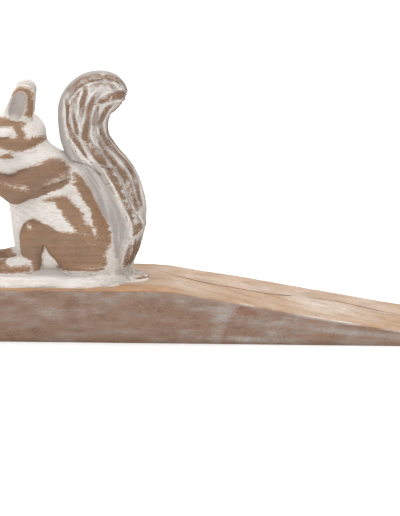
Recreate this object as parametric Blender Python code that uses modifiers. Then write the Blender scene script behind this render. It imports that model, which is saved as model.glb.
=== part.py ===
"""A hand-carved door wedge: a long wooden wedge with a carved squirrel pinned and glued on its thick end.

Units are metres, +Z is up, +X runs from the thick end to the thin tip, and the squirrel faces -X.
The origin is the centre of the wedge's footprint on the floor. Run it with
blender --background --python part.py, or from Blender's text editor.
"""

import math

import bmesh
import bpy
from mathutils import Matrix, Vector

MM = 0.001

# The wedge's driving sizes.
LENGTH = 240 * MM
WIDTH = 44 * MM
HEEL_HEIGHT = 27.6 * MM
TIP_HEIGHT = 4.4 * MM
RAMP_START_X = -18 * MM
EDGE_ROUND = 1.6 * MM

# The joint between the squirrel and the wedge: two glued dowel pins, upright on the centre plane.
JOINT_GAP = 0.3 * MM
DOWEL_RADIUS = 3.0 * MM
DOWEL_IN_WEDGE = 14 * MM
DOWEL_IN_FIGURE = 9 * MM
DOWEL_CHAMFER = 0.5 * MM
DOWELS = {"front_dowel": -86 * MM, "rear_dowel": -58 * MM}

# The squirrel is drawn about its own origin, which stands at this place in the wedge's frame.
FIGURE_PLACE = (0.4 * MM, 0.0, 0.55 * MM)

# How the squirrel's blocked-out lumps are merged into one carved solid.
CARVING_STEP = 1.0 * MM
CARVING_SMOOTH_ROUNDS = 3
CARVING_KEEP = 0.085

ROUND_SIDES = 32


def start_clean():
    """Removes every object, so that the script can run again in the same file."""
    for old in list(bpy.data.objects):
        bpy.data.objects.remove(old, do_unlink=True)


def new_collection(name):
    """A collection in the scene, emptied if it is already there."""
    found = bpy.data.collections.get(name) or bpy.data.collections.new(name)
    if found.name not in bpy.context.scene.collection.children:
        bpy.context.scene.collection.children.link(found)
    return found


def wood(name, colour, roughness):
    """A plain wood material: colour is linear RGB."""
    made = bpy.data.materials.new(name)
    made.use_nodes = True
    shader = made.node_tree.nodes["Principled BSDF"]
    shader.inputs["Base Color"].default_value = (*colour, 1.0)
    shader.inputs["Roughness"].default_value = roughness
    shader.inputs["Metallic"].default_value = 0.0
    return made


def object_from_bmesh(name, shape, collection):
    """Turns a bmesh into an object and frees the bmesh."""
    mesh = bpy.data.meshes.new(name)
    shape.to_mesh(mesh)
    shape.free()
    made = bpy.data.objects.new(name, mesh)
    collection.objects.link(made)
    return made


def mesh_from_curve(curve_object):
    """The curve's closed mesh, in the curve's own space, with its caps welded. The curve is removed."""
    bpy.context.view_layer.update()
    graph = bpy.context.evaluated_depsgraph_get()
    mesh = bpy.data.meshes.new_from_object(curve_object.evaluated_get(graph))
    shape = bmesh.new()
    shape.from_mesh(mesh)
    bmesh.ops.remove_doubles(shape, verts=shape.verts, dist=0.001 * MM)
    bmesh.ops.transform(shape, matrix=curve_object.matrix_world, verts=shape.verts)
    bmesh.ops.recalc_face_normals(shape, faces=shape.faces)
    shape.to_mesh(mesh)
    shape.free()
    bpy.data.objects.remove(curve_object, do_unlink=True)
    return mesh


def arc(centre, radius, start_degrees, end_degrees, steps):
    """Points (x, z) along an arc, in degrees from +X towards +Z."""
    angles = [start_degrees + (end_degrees - start_degrees) * i / steps for i in range(steps + 1)]
    return [
        (centre[0] + radius * math.cos(math.radians(a)), centre[1] + radius * math.sin(math.radians(a)))
        for a in angles
    ]


def wedge_outline():
    """The wedge seen from the side, as (x, z) points, anticlockwise from the sole's heel end."""
    heel_x, tip_x = -LENGTH / 2, LENGTH / 2
    heel_round, ramp_round = 3 * MM, 60 * MM
    slope = math.atan2(HEEL_HEIGHT - TIP_HEIGHT, tip_x - RAMP_START_X)
    # The flat top turns into the ramp round a large circle that touches both.
    reach = ramp_round * math.tan(slope / 2)
    crown = arc(
        (RAMP_START_X - reach, HEEL_HEIGHT - ramp_round), ramp_round, 90 - math.degrees(slope), 90, 5
    )
    heel = arc((heel_x + heel_round, HEEL_HEIGHT - heel_round), heel_round, 90, 180, 5)
    return [(heel_x, 0), (tip_x, 0), (tip_x, TIP_HEIGHT), *crown, *heel]


def make_wedge(collection):
    """The wedge: its side outline, extruded across its width, with every long edge rounded."""
    curve = bpy.data.curves.new("wedge_outline", "CURVE")
    curve.dimensions = "2D"
    curve.fill_mode = "BOTH"
    curve.extrude = WIDTH / 2
    points = wedge_outline()
    spline = curve.splines.new("POLY")
    spline.points.add(len(points) - 1)
    for point, (x, z) in zip(spline.points, points):
        point.co = (x, z, 0, 1)
    spline.use_cyclic_u = True
    outline = bpy.data.objects.new("wedge_outline", curve)
    outline.rotation_euler = (math.pi / 2, 0, 0)
    collection.objects.link(outline)
    wedge = bpy.data.objects.new("wedge_body", mesh_from_curve(outline))
    collection.objects.link(wedge)
    rounding = wedge.modifiers.new("edge_round", "BEVEL")
    rounding.width = EDGE_ROUND
    rounding.segments = 3
    rounding.limit_method = "ANGLE"
    rounding.angle_limit = math.radians(50)
    return wedge


def add_lump(shape, centre, radii, pitch_degrees=0.0):
    """Adds an ellipsoid. Pitch turns it about Y, nose down on the -X side when positive. Sizes are in mm."""
    place = (
        Matrix.Translation(Vector(centre) * MM)
        @ Matrix.Rotation(-math.radians(pitch_degrees), 4, "Y")
        @ Matrix.Diagonal((*(Vector(radii) * MM), 1.0))
    )
    bmesh.ops.create_uvsphere(shape, u_segments=28, v_segments=16, radius=1.0, matrix=place)


def add_limb(shape, start, start_radius, end, end_radius, flatten=1.0):
    """Adds a tapered limb with round ends, squeezed sideways about its own line by flatten. Sizes are in mm."""
    a, b = Vector(start), Vector(end)
    direction = b - a
    squeeze = Matrix.Translation((0, a.y * MM, 0)) @ Matrix.Diagonal((1, flatten, 1, 1))
    squeeze = squeeze @ Matrix.Translation((0, -a.y * MM, 0))
    turn = Vector((0, 0, 1)).rotation_difference(direction).to_matrix().to_4x4()
    cone = Matrix.Translation((a + b) / 2 * MM) @ turn
    bmesh.ops.create_cone(
        shape,
        cap_ends=True,
        segments=28,
        radius1=start_radius * MM,
        radius2=end_radius * MM,
        depth=direction.length * MM,
        matrix=squeeze @ cone,
    )
    for centre, radius in ((a, start_radius), (b, end_radius)):
        place = squeeze @ Matrix.Translation(centre * MM)
        bmesh.ops.create_uvsphere(shape, u_segments=28, v_segments=16, radius=radius * MM, matrix=place)


def block_out_body(shape):
    """Torso, belly, chest, and the web of wood left between the back and the tail."""
    add_limb(shape, (-76, 0, 80.5), 12.8, (-69, 0, 52), 20.5, 0.68)
    add_limb(shape, (-86.6, 0, 70), 11.5, (-79.4, 0, 42), 15.5, 0.68)
    add_lump(shape, (-93.5, 0, 86), (12, 9.6, 9))
    add_limb(shape, (-65, 0, 84), 8, (-52, 0, 50), 12)
    add_limb(shape, (-52, 0, 50), 12, (-50, 0, 32), 12)


def block_out_head(shape):
    """Skull, muzzle, nose, cheeks and neck."""
    add_lump(shape, (-94.8, 0, 101.3), (15.2, 12.2, 12.8))
    add_limb(shape, (-95, 0, 101), 11.2, (-109, 0, 97.5), 5.2, 0.9)
    add_lump(shape, (-112.2, 0, 99.2), (2.2, 2.4, 1.9))
    add_limb(shape, (-88, 0, 97), 8.5, (-80, 0, 83), 11.5, 0.9)
    add_lump(shape, (-88.2, 0, 100.5), (10.2, 10.4, 8.6))
    for side in (1, -1):
        add_lump(shape, (-98, side * 7.2, 97.5), (7.5, 4.8, 6.5))


def block_out_ears(shape):
    """Two upright ears, each a flattened pointed leaf."""
    for side in (1, -1):
        add_limb(shape, (-90.4, side * 6.2, 112.8), 6.9, (-87.8, side * 6.8, 121.4), 5.2, 0.5)


def block_out_arms(shape):
    """Shoulder, upper arm, forearm and paw on each side, and the nut between the paws."""
    for side in (1, -1):
        shoulder = (-74.0, side * 9.8, 82.2)
        elbow = (-92.4, side * 10.6, 74.4)
        wrist = (-107, side * 6.0, 78.4)
        add_limb(shape, shoulder, 8.6, elbow, 6.6, 0.72)
        add_limb(shape, elbow, 6.2, wrist, 3.9, 0.85)
        add_lump(shape, (-109.6, side * 4.6, 79.6), (4.0, 3.2, 4.0))
    add_lump(shape, (-111.2, 0, 81.0), (4.8, 4.6, 5.8), 20)


def block_out_legs(shape):
    """Haunch, knee, shin and long foot on each side."""
    for side in (1, -1):
        add_limb(shape, (-84.4, side * 9.0, 53.2), 7.4, (-66.0, side * 8.4, 45.2), 9.8, 0.8)
        add_limb(shape, (-62.0, side * 6.4, 42.0), 11.6, (-55.0, side * 6.4, 43.0), 10.4, 0.78)
        add_limb(shape, (-60.0, side * 6.0, 34.0), 11.4, (-56.0, side * 6.0, 34.0), 11.0, 0.7)
        add_limb(shape, (-85.4, side * 9.8, 50.0), 6.3, (-85.4, side * 9.8, 36.5), 4.8, 0.95)
        add_limb(shape, (-88.0, side * 10.4, 35.6), 4.2, (-105.5, side * 9.0, 34.6), 3.6, 1.05)


# The tail's line as (x, z, half width in the side view, half thickness), from its root to its tip.
TAIL = (
    (-41.5, 30.0, 7.5, 9.5),
    (-40.0, 44.0, 9.2, 10.5),
    (-40.8, 58.0, 11.6, 11.5),
    (-46.0, 73.0, 13.6, 12.5),
    (-53.0, 87.0, 14.6, 13.0),
    (-58.6, 100.0, 13.0, 12.5),
    (-60.0, 111.0, 12.2, 12.0),
    (-57.0, 118.4, 12.6, 10.8),
    (-51.4, 121.8, 10.4, 8.8),
    (-45.6, 122.2, 6.4, 6.4),
    (-41.6, 121.4, 3.2, 4.4),
)


def block_out_tail(shape):
    """The tail stands behind the back and curls over to the rear."""
    for (x0, z0, r0, t0), (x1, z1, r1, t1) in zip(TAIL, TAIL[1:]):
        add_limb(shape, (x0, 0, z0), r0, (x1, 0, z1), r1, (t0 + t1) / (r0 + r1))


# The mound from above, as discs: x, y, radius at the wedge's top, and height over it.
MOUND_DISCS = (
    (-96.5, 0.0, 19.6, 6.2),
    (-60.0, 0.0, 19.6, 6.2),
    (-44.0, 0.8, 11.4, 4.4),
    (-33.5, 1.5, 6.6, 2.6),
)
MOUND_SIDE_SLOPE = 0.9
DISC_POINTS = 28


def add_ring(shape, x, y, z, radius):
    """Adds a level ring of loose points and returns them. Sizes are in mm."""
    turns = [2 * math.pi * step / DISC_POINTS for step in range(DISC_POINTS)]
    places = [(x + radius * math.cos(turn), y + radius * math.sin(turn), z) for turn in turns]
    return [shape.verts.new(Vector(place) * MM) for place in places]


def block_out_plinth(shape):
    """The low mound that the squirrel sits on: a slab with sloping sides, tapering to a rounded tail end."""
    base = (HEEL_HEIGHT - FIGURE_PLACE[2]) / MM
    corners = []
    for x, y, radius, height in MOUND_DISCS:
        spread = MOUND_SIDE_SLOPE * height
        corners += add_ring(shape, x, y, base - height, radius + spread)
        corners += add_ring(shape, x, y, base + height, radius - spread)
    hull = bmesh.ops.convex_hull(shape, input=corners)
    inner = {item for item in hull["geom_interior"] + hull["geom_unused"] if isinstance(item, bmesh.types.BMVert)}
    bmesh.ops.delete(shape, geom=list(inner), context="VERTS")


def make_squirrel(collection):
    """The carved squirrel: lumps blocked out, merged and smoothed into one solid with a flat underside."""
    shape = bmesh.new()
    block_out_body(shape)
    block_out_head(shape)
    block_out_ears(shape)
    block_out_arms(shape)
    block_out_legs(shape)
    block_out_tail(shape)
    block_out_plinth(shape)
    bmesh.ops.translate(shape, vec=FIGURE_PLACE, verts=shape.verts)
    squirrel = object_from_bmesh("squirrel_figure", shape, collection)
    merge = squirrel.modifiers.new("merge_lumps", "REMESH")
    merge.mode = "VOXEL"
    merge.voxel_size = CARVING_STEP
    soften = squirrel.modifiers.new("soften_joins", "SMOOTH")
    soften.factor = 0.5
    soften.iterations = CARVING_SMOOTH_ROUNDS
    thin = squirrel.modifiers.new("fewer_faces", "DECIMATE")
    thin.ratio = CARVING_KEEP
    return squirrel


def make_cutter(name, shape, collection):
    """A guide that cuts other objects and isn't part of the model."""
    cutter = object_from_bmesh(name, shape, collection)
    cutter.hide_render = True
    cutter.display_type = "WIRE"
    return cutter


def cut(target, cutter):
    """Takes the cutter's volume away from the target."""
    modifier = target.modifiers.new("cut_" + cutter.name, "BOOLEAN")
    modifier.operation = "DIFFERENCE"
    modifier.object = cutter


def underside_cutter(collection):
    """A block whose top is the squirrel's flat glued face."""
    side, top = 2 * LENGTH, HEEL_HEIGHT + JOINT_GAP
    shape = bmesh.new()
    bmesh.ops.create_cube(shape, size=1.0)
    bmesh.ops.scale(shape, vec=(side, side, side), verts=shape.verts)
    bmesh.ops.translate(shape, vec=(0, 0, top - side / 2), verts=shape.verts)
    return make_cutter("underside_cutter", shape, collection)


def upright_cylinder(radius, low_z, high_z, x):
    """A closed upright cylinder on the centre plane, as a bmesh."""
    shape = bmesh.new()
    bmesh.ops.create_cone(
        shape,
        cap_ends=True,
        segments=ROUND_SIDES,
        radius1=radius,
        radius2=radius,
        depth=high_z - low_z,
        matrix=Matrix.Translation((x, 0, (low_z + high_z) / 2)),
    )
    return shape


def make_dowel(name, x, collection):
    """A hardwood pin, chamfered at both ends."""
    shape = upright_cylinder(
        DOWEL_RADIUS, HEEL_HEIGHT - DOWEL_IN_WEDGE, HEEL_HEIGHT + JOINT_GAP + DOWEL_IN_FIGURE, x
    )
    dowel = object_from_bmesh(name, shape, collection)
    chamfer = dowel.modifiers.new("end_chamfer", "BEVEL")
    chamfer.width = DOWEL_CHAMFER
    chamfer.segments = 1
    chamfer.limit_method = "ANGLE"
    chamfer.angle_limit = math.radians(60)
    dowel.data.shade_smooth()
    dowel.data.set_sharp_from_angle(angle=math.radians(35))
    return dowel


def dowel_hole(name, x, collection):
    """The blind hole for one dowel, through the joint, with room for glue all round and at both ends."""
    shape = upright_cylinder(
        DOWEL_RADIUS + JOINT_GAP,
        HEEL_HEIGHT - DOWEL_IN_WEDGE - JOINT_GAP,
        HEEL_HEIGHT + DOWEL_IN_FIGURE + 2 * JOINT_GAP,
        x,
    )
    return make_cutter(name, shape, collection)


def main():
    start_clean()
    parts = new_collection("carved_door_wedge")
    cutters = new_collection("cutters")
    worn_wood = wood("worn_tan_wood", (0.45, 0.30, 0.19), 0.75)
    washed_wood = wood("whitewashed_wood", (0.55, 0.47, 0.40), 0.8)
    dowel_wood = wood("dowel_wood", (0.60, 0.42, 0.24), 0.65)

    wedge = make_wedge(parts)
    squirrel = make_squirrel(parts)
    cut(squirrel, underside_cutter(cutters))
    wedge.data.materials.append(worn_wood)
    squirrel.data.materials.append(washed_wood)
    for name, x in DOWELS.items():
        hole = dowel_hole(name + "_hole", x, cutters)
        cut(wedge, hole)
        cut(squirrel, hole)
        make_dowel(name, x, parts).data.materials.append(dowel_wood)


main()
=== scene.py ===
import math
from itertools import product

import bpy
import numpy as np
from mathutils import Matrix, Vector


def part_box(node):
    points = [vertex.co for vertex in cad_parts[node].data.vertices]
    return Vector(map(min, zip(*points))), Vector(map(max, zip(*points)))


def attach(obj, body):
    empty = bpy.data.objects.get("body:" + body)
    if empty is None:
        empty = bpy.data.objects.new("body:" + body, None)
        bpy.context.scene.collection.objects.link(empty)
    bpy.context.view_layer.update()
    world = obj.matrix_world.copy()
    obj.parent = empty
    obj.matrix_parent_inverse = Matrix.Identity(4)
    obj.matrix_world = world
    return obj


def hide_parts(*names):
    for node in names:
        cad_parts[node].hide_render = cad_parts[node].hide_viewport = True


# Everything is in millimetres in the frame's own axes, and becomes metres when a mesh is made.
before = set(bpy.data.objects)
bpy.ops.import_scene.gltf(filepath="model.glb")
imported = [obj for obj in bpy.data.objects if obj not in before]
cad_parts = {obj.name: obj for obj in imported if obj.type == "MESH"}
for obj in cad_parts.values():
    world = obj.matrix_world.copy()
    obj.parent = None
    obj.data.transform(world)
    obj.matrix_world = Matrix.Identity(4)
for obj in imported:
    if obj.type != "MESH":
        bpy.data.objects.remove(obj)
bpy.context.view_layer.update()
MM = 0.001


def box_mm(name):
    """The lowest and highest corners of a CAD node, in millimetres."""
    low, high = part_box(name)
    return np.array(low) / MM, np.array(high) / MM


WEDGE_LOW, WEDGE_HIGH = box_mm("wedge_body")
FIGURE_LOW, FIGURE_HIGH = box_mm("squirrel_figure")
HEEL_X, TIP_X = WEDGE_LOW[0], WEDGE_HIGH[0]
HALF_WIDTH = WEDGE_HIGH[1]
SEAT_Z = WEDGE_HIGH[2]


# ---------------------------------------------------------------- noise and soft steps


def soft_step(value, start, end):
    """0 at start, 1 at end, and smooth between them."""
    t = np.clip((value - start) / (end - start), 0.0, 1.0)
    return t * t * (3.0 - 2.0 * t)


# A spatial hash: the primes only have to be large and unlike.
CELL_PRIMES = (73856093, 19349663, 83492791)
SEED_PRIME = 2654435761
SCRAMBLE_PRIMES = (1103515245, 1274126177)
SCRAMBLE_STEP = 12345
LOW_BITS = 0x7FFFFFFF
SEED_SHIFT = 0.37


def scatter(cell, seed):
    """A fixed number from -1 to 1 for each cell (N, 3) of whole numbers, unlike its neighbours'."""
    h = seed * SEED_PRIME
    for axis, prime in enumerate(CELL_PRIMES):
        h = h ^ (cell[:, axis] * prime)
    h = ((h & LOW_BITS) * SCRAMBLE_PRIMES[0] + SCRAMBLE_STEP) & LOW_BITS
    h = ((h ^ (h >> 13)) * SCRAMBLE_PRIMES[1]) & LOW_BITS
    return (h >> 8) % 65536 / 32767.5 - 1.0


def noise(points, size, seed):
    """Smooth noise from -1 to 1 at points (N, 3), in lumps of that size: one number, or one an axis.

    Each seed gives another pattern, and has no other meaning.
    """
    p = points / np.asarray(size, float) + SEED_SHIFT * seed
    cell = np.floor(p).astype(np.int64)
    t = soft_step(p - cell, 0.0, 1.0)
    total = np.zeros(len(points))
    for corner in product((0, 1), repeat=3):
        weight = np.prod(np.where(np.array(corner) == 1, t, 1.0 - t), axis=1)
        total += weight * scatter(cell + corner, seed)
    return total


def rough_noise(points, size, seed, octaves=3):
    """Noise with finer and finer lumps added, each half as strong as the last."""
    total, strength = 0.0, 1.0
    for octave in range(octaves):
        total = total + strength * noise(points, np.asarray(size, float) / 2**octave, seed + octave)
        strength *= 0.5
    return total / (2.0 - 2.0 * strength)


# ---------------------------------------------------------------- solid shapes as distances


def blend_union(a, b, radius):
    """The union of two distances, with a fillet of about that radius."""
    h = np.clip(0.5 + 0.5 * (b - a) / radius, 0.0, 1.0)
    return b + (a - b) * h - radius * h * (1.0 - h)


def blend_all(forms, radius):
    """The forms joined one after another, with one fillet."""
    joined = forms[0]
    for form in forms[1:]:
        joined = blend_union(joined, form, radius)
    return joined


def blend_cut(a, b, radius):
    """a with b taken away, and the cut's edge rounded."""
    return -blend_union(-a, b, radius)


def lump(p, centre, radii, lean=0.0):
    """Distance to an ellipsoid. lean turns its top towards +X, in degrees."""
    q = p - np.asarray(centre, float)
    c, s = math.cos(math.radians(lean)), math.sin(math.radians(lean))
    q = np.stack([c * q[:, 0] - s * q[:, 2], q[:, 1], s * q[:, 0] + c * q[:, 2]], axis=1)
    radii = np.asarray(radii, float)
    near = np.linalg.norm(q / radii, axis=1)
    steep = np.linalg.norm(q / radii**2, axis=1)
    return near * (near - 1.0) / np.maximum(steep, 1e-9)


def limb(p, start, start_radius, end, end_radius, flat=1.0):
    """Distance to a tapered limb with round ends, squeezed sideways by flat."""
    a, along = np.asarray(start, float), np.asarray(end, float) - np.asarray(start, float)
    h = np.clip((p - a) @ along / (along @ along), 0.0, 1.0)
    q = p - a - h[:, None] * along
    q[:, 1] /= flat
    return np.linalg.norm(q, axis=1) - (start_radius + (end_radius - start_radius) * h)


def block(p, centre, half, rounding):
    """Distance to a box with rounded corners and edges."""
    q = np.abs(p - np.asarray(centre, float)) - (np.asarray(half, float) - rounding)
    outside = np.linalg.norm(np.maximum(q, 0.0), axis=1)
    return outside + np.minimum(q.max(axis=1), 0.0) - rounding


def stroke(p, path):
    """How far points are outside a stroke seen from the side. path is a list of (x, z, radius)."""
    nearest = np.full(len(p), 1e9)
    q = p[:, [0, 2]]
    for (x0, z0, r0), (x1, z1, r1) in zip(path, path[1:]):
        a, along = np.array([x0, z0]), np.array([x1 - x0, z1 - z0])
        h = np.clip((q - a) @ along / (along @ along), 0.0, 1.0)
        reach = np.linalg.norm(q - a - h[:, None] * along, axis=1) - (r0 + (r1 - r0) * h)
        nearest = np.minimum(nearest, reach)
    return nearest


def incise(distance, depth, width):
    """How much a V cut takes off at a given distance from its line."""
    return depth * np.exp(-((distance / width) ** 2))


# ---------------------------------------------------------------- the squirrel's shape

# The squirrel is drawn about its own origin, which stands at this place in the wedge's frame.
FIGURE_PLACE = np.array([0.4, 0.0, 0.55])
SEAT_DRAWN = SEAT_Z - FIGURE_PLACE[2]
FOOT_SINK = 0.4
FAR = 9.0

# The tail's line from root to tip: x, z, half width from the side, half thickness, and how far round from its
# front edge its grooves start, in degrees.
TAIL_POINTS = np.array(
    [
        (-41.0, 24.0, 5.6, 9.0, 62),
        (-40.9, 36.0, 5.8, 9.5, 66),
        (-40.2, 47.0, 9.3, 10.5, 74),
        (-40.3, 59.5, 12.0, 11.5, 76),
        (-42.0, 68.0, 13.2, 12.0, 70),
        (-45.8, 77.5, 12.9, 12.2, 62),
        (-52.3, 87.5, 11.9, 12.2, 56),
        (-57.6, 96.2, 12.0, 12.2, 46),
        (-59.5, 104.5, 12.3, 12.0, 40),
        (-58.7, 113.0, 12.9, 11.8, 30),
        (-55.0, 119.0, 12.5, 10.8, 20),
        (-50.0, 121.3, 11.1, 9.3, 14),
        (-45.4, 121.8, 7.8, 7.0, 10),
        (-42.0, 121.0, 4.9, 4.6, 8),
        (-39.9, 120.9, 2.3, 2.4, 6),
    ]
)
TAIL_STEPS = 150
TAIL_BATCH = 40000
GROOVE_PITCH = 4.5
GROOVE_DEPTH = 1.0
HAIR_PITCH = 2.1
HAIR_DEPTH = 0.22

# From this far along it the tail curls over, and its grooves stay as many as on a tail at least this wide.
CURL_START, CURL_WIDTH = 88.0, 11.5

# The bright channel between its two widest locks, as x, z, half width.
TAIL_PARTING = [
    (-52.5, 97.5, 0.2), (-49.5, 93.5, 0.4), (-44.5, 86.0, 0.5), (-40.0, 79.0, 0.5), (-37.0, 69.5, 0.6),
    (-32.5, 58.5, 0.3),
]

# The crests of the tail's fur, left proud between the cut channels, seen from the side: x, z, half width.
# First those over the curl and down the front of the tail, then those further back, its foot and its tip.
TAIL_CRESTS = [
    [
        (-68.0, 121.5, 0.5), (-64.5, 126.0, 0.5), (-60.0, 129.5, 0.5), (-53.0, 132.0, 0.7),
        (-45.5, 131.0, 0.5), (-39.5, 126.0, 0.4),
    ],
    [
        (-67.0, 121.5, 0.6), (-66.5, 114.5, 0.6), (-66.5, 108.5, 0.5), (-64.5, 102.5, 1.0),
        (-61.5, 99.0, 1.3), (-59.0, 95.0, 0.6), (-56.5, 90.5, 0.5),
    ],
    [
        (-66.5, 120.0, 0.6), (-62.0, 125.5, 0.6), (-57.0, 129.0, 0.6), (-48.0, 130.5, 0.5),
        (-42.5, 128.0, 0.4),
    ],
    [(-63.5, 116.5, 0.5), (-63.5, 112.0, 0.6), (-62.5, 106.5, 0.7), (-61.5, 102.0, 0.9)],
    [
        (-57.5, 128.0, 0.5), (-57.5, 123.5, 1.0), (-59.0, 119.0, 1.1), (-59.5, 114.5, 0.8),
        (-60.0, 111.0, 0.4),
    ],
    [
        (-50.0, 125.0, 0.9), (-53.5, 121.0, 1.0), (-55.5, 117.0, 1.1), (-56.5, 112.0, 0.9),
        (-57.5, 107.0, 1.5), (-58.0, 102.5, 1.6), (-55.5, 97.5, 1.6), (-52.0, 93.0, 2.1),
        (-48.5, 89.0, 2.0),
    ],
    [
        (-47.0, 86.0, 1.5), (-45.0, 83.0, 1.8), (-42.0, 78.0, 1.7), (-39.5, 72.0, 1.5), (-37.0, 65.0, 1.2),
        (-34.5, 60.0, 1.5), (-33.0, 55.0, 2.2), (-34.5, 52.0, 1.4),
    ],
    [(-51.0, 118.5, 0.6), (-52.5, 114.0, 0.6), (-53.5, 109.0, 0.9), (-53.5, 105.5, 0.5)],
    [
        (-52.0, 101.5, 0.4), (-50.0, 97.0, 0.7), (-46.5, 92.5, 1.0), (-43.5, 87.5, 1.2),
        (-40.5, 83.5, 1.6), (-37.5, 78.0, 1.6), (-36.0, 73.0, 1.1), (-33.5, 66.5, 1.0), (-32.0, 62.0, 0.6),
    ],
    [
        (-43.5, 117.5, 0.5), (-47.0, 115.5, 1.0), (-49.0, 112.5, 1.2), (-51.0, 108.0, 0.7),
        (-50.0, 103.0, 0.6), (-47.5, 98.0, 0.7), (-43.5, 94.0, 0.6), (-39.0, 88.5, 0.6),
        (-35.5, 83.0, 0.6), (-33.5, 77.5, 0.7), (-32.0, 70.0, 0.6), (-30.5, 64.0, 0.5),
    ],
    [(-47.5, 101.5, 0.5), (-44.5, 96.0, 0.5), (-40.0, 90.5, 0.4), (-36.5, 85.0, 0.4)],
    [(-36.5, 46.5, 1.0), (-37.5, 42.0, 1.2), (-40.0, 34.0, 1.2)],
    [(-34.0, 47.5, 1.2), (-34.5, 43.5, 1.3), (-37.5, 35.5, 1.3)],
    [(-31.0, 51.0, 0.5), (-32.5, 45.5, 0.9), (-35.5, 36.0, 0.8)],
    [(-38.5, 121.0, 2.2), (-42.0, 121.5, 2.2), (-47.0, 120.5, 1.5), (-52.0, 119.0, 1.2)],
    [(-47.0, 128.0, 0.5), (-44.5, 126.0, 0.6), (-41.5, 124.0, 0.7)],
    [(-52.5, 127.5, 0.6), (-50.0, 128.5, 0.5)],
]

# Lines cut into the carving, seen from the side: x, z, half width.
BACK_GROOVE = [(-65.5, 74.0, 0.2), (-62.5, 69.5, 0.5), (-58.5, 63.5, 0.6), (-56.0, 59.0, 0.2)]
LEG_NOTCH = [(-79.0, 46.5, 0.5), (-78.0, 40.0, 2.4), (-77.0, 33.0, 4.6)]
MOUTH = [(-113.5, 95.0, 0.0), (-109.0, 93.5, 0.0), (-105.0, 94.5, 0.0)]
TAIL_CRACK = [
    (-64.0, 89.0, 0.0), (-58.0, 88.0, 0.1), (-55.5, 87.0, 0.2), (-53.0, 85.0, 0.2), (-50.5, 83.0, 0.0),
]
LOCK_CRACK = [(-50.0, 87.0, 0.0), (-47.5, 86.5, 0.1), (-45.0, 85.5, 0.0)]
# A shallow cut under the arm, darkened along its line as a painted shadow.
ARM_SHADOW_CUT = [(-66.5, 80.5, 0.0), (-69.0, 79.5, 0.1), (-73.0, 78.0, 0.0), (-79.0, 76.0, 0.0)]

# The eye, seen from the side: its middle, and its half length and half height.
EYE_PLACE = (-98.0, 103.8)
EYE_REACH = (5.2, 2.5)

# The mound from above, as x, y, radius, and the height of its top along x.
MOUND_PLAN = [
    (-96.5, 0.0, 19.4),
    (-62.0, 0.0, 19.4),
    (-52.0, 0.3, 16.6),
    (-46.0, 0.5, 12.4),
    (-41.0, 0.0, 10.4),
    (-36.5, -1.5, 8.0),
    (-33.0, -3.5, 4.6),
]
MOUND_TOP = [(-62.0, 7.4), (-50.0, 5.2), (-43.0, 3.6), (-36.0, 2.0), (-28.0, 0.9)]

# How the regions join the body, in turn: region and fillet.
FILLETS = [
    ("head", 2.5),
    ("ear", 1.4),
    ("tail", 1.6),
    ("leg", 2.2),
    ("foot", 0.9),
    ("mound", 1.8),
    ("arm", 3.2),
    ("nut", 0.4),
]


def smooth_line(points, steps):
    """Points along a Catmull-Rom curve through the given rows, evenly spaced along x and z."""
    padded = np.vstack([2 * points[0] - points[1], points, 2 * points[-1] - points[-2]])
    fine = []
    for p0, p1, p2, p3 in zip(padded, padded[1:], padded[2:], padded[3:]):
        t = np.linspace(0.0, 1.0, 40, endpoint=False)[:, None]
        curve = 2 * p1 + (p2 - p0) * t + (2 * p0 - 5 * p1 + 4 * p2 - p3) * t**2
        fine.append(0.5 * (curve + (3 * p1 - p0 - 3 * p2 + p3) * t**3))
    fine = np.vstack([*fine, points[-1:]])
    length = np.concatenate([[0.0], np.cumsum(np.linalg.norm(np.diff(fine[:, :2], axis=0), axis=1))])
    at = np.linspace(0.0, length[-1], steps)
    return np.stack([np.interp(at, length, column) for column in fine.T], axis=1), at


TAIL_LINE, TAIL_LENGTH = smooth_line(TAIL_POINTS, TAIL_STEPS)


def tail_place(p):
    """Each point's distance to the plain tail, its step along it, and its angle from the front edge."""
    heading = np.gradient(TAIL_LINE[:, :2], axis=0)
    heading /= np.linalg.norm(heading, axis=1)[:, None]
    rear = np.stack([heading[:, 1], -heading[:, 0]], axis=1)
    distance, step, angle = np.empty(len(p)), np.empty(len(p), int), np.empty(len(p))
    wide, thick = TAIL_LINE[:, 2], TAIL_LINE[:, 3]
    for first in range(0, len(p), TAIL_BATCH):
        part = slice(first, first + TAIL_BATCH)
        q = p[part]
        dx = q[:, :1] - TAIL_LINE[:, 0]
        dz = q[:, 2:] - TAIL_LINE[:, 1]
        dy = q[:, 1:2] * (wide / thick)
        reach = np.sqrt(dx * dx + dz * dz + dy * dy) - wide
        best = np.argmin(reach, axis=1)
        row = np.arange(len(q))
        distance[part] = reach[row, best]
        step[part] = best
        across = dx[row, best] * rear[best, 0] + dz[row, best] * rear[best, 1]
        angle[part] = np.arctan2(np.abs(dy[row, best]), -across)
    return distance, step, angle


def tail_grooves(p, step, angle):
    """(ridge, inside): 1 on a crest and 0 in a channel, and 0 on the smooth front band and 1 behind it."""
    along = TAIL_LENGTH[step]
    girth = np.maximum(TAIL_LINE[step, 2], np.where(along > CURL_START, CURL_WIDTH, 0.0))
    side = np.sign(p[:, 1])
    place = np.stack([along, angle * 9.0, side * 20.0], axis=1)
    count = (math.pi - angle) * girth / GROOVE_PITCH + 0.42 * noise(place, (22, 9, 5), 11)
    inside = soft_step(np.degrees(angle), TAIL_LINE[step, 4] - 5.0, TAIL_LINE[step, 4] + 5.0)
    return 1.0 - np.abs(np.sin(math.pi * count)), inside


def ease(p):
    """Moves points a little, so that the two sides aren't alike and no curve is perfect."""
    slow = np.sin(p[:, [1, 2, 0]] / 7.3 + (0.4, 1.9, 3.1))
    quick = np.sin(p[:, [2, 0, 1]] / 3.9 + (2.2, 0.7, 4.0))
    return p + 0.30 * slow + 0.13 * quick


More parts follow.
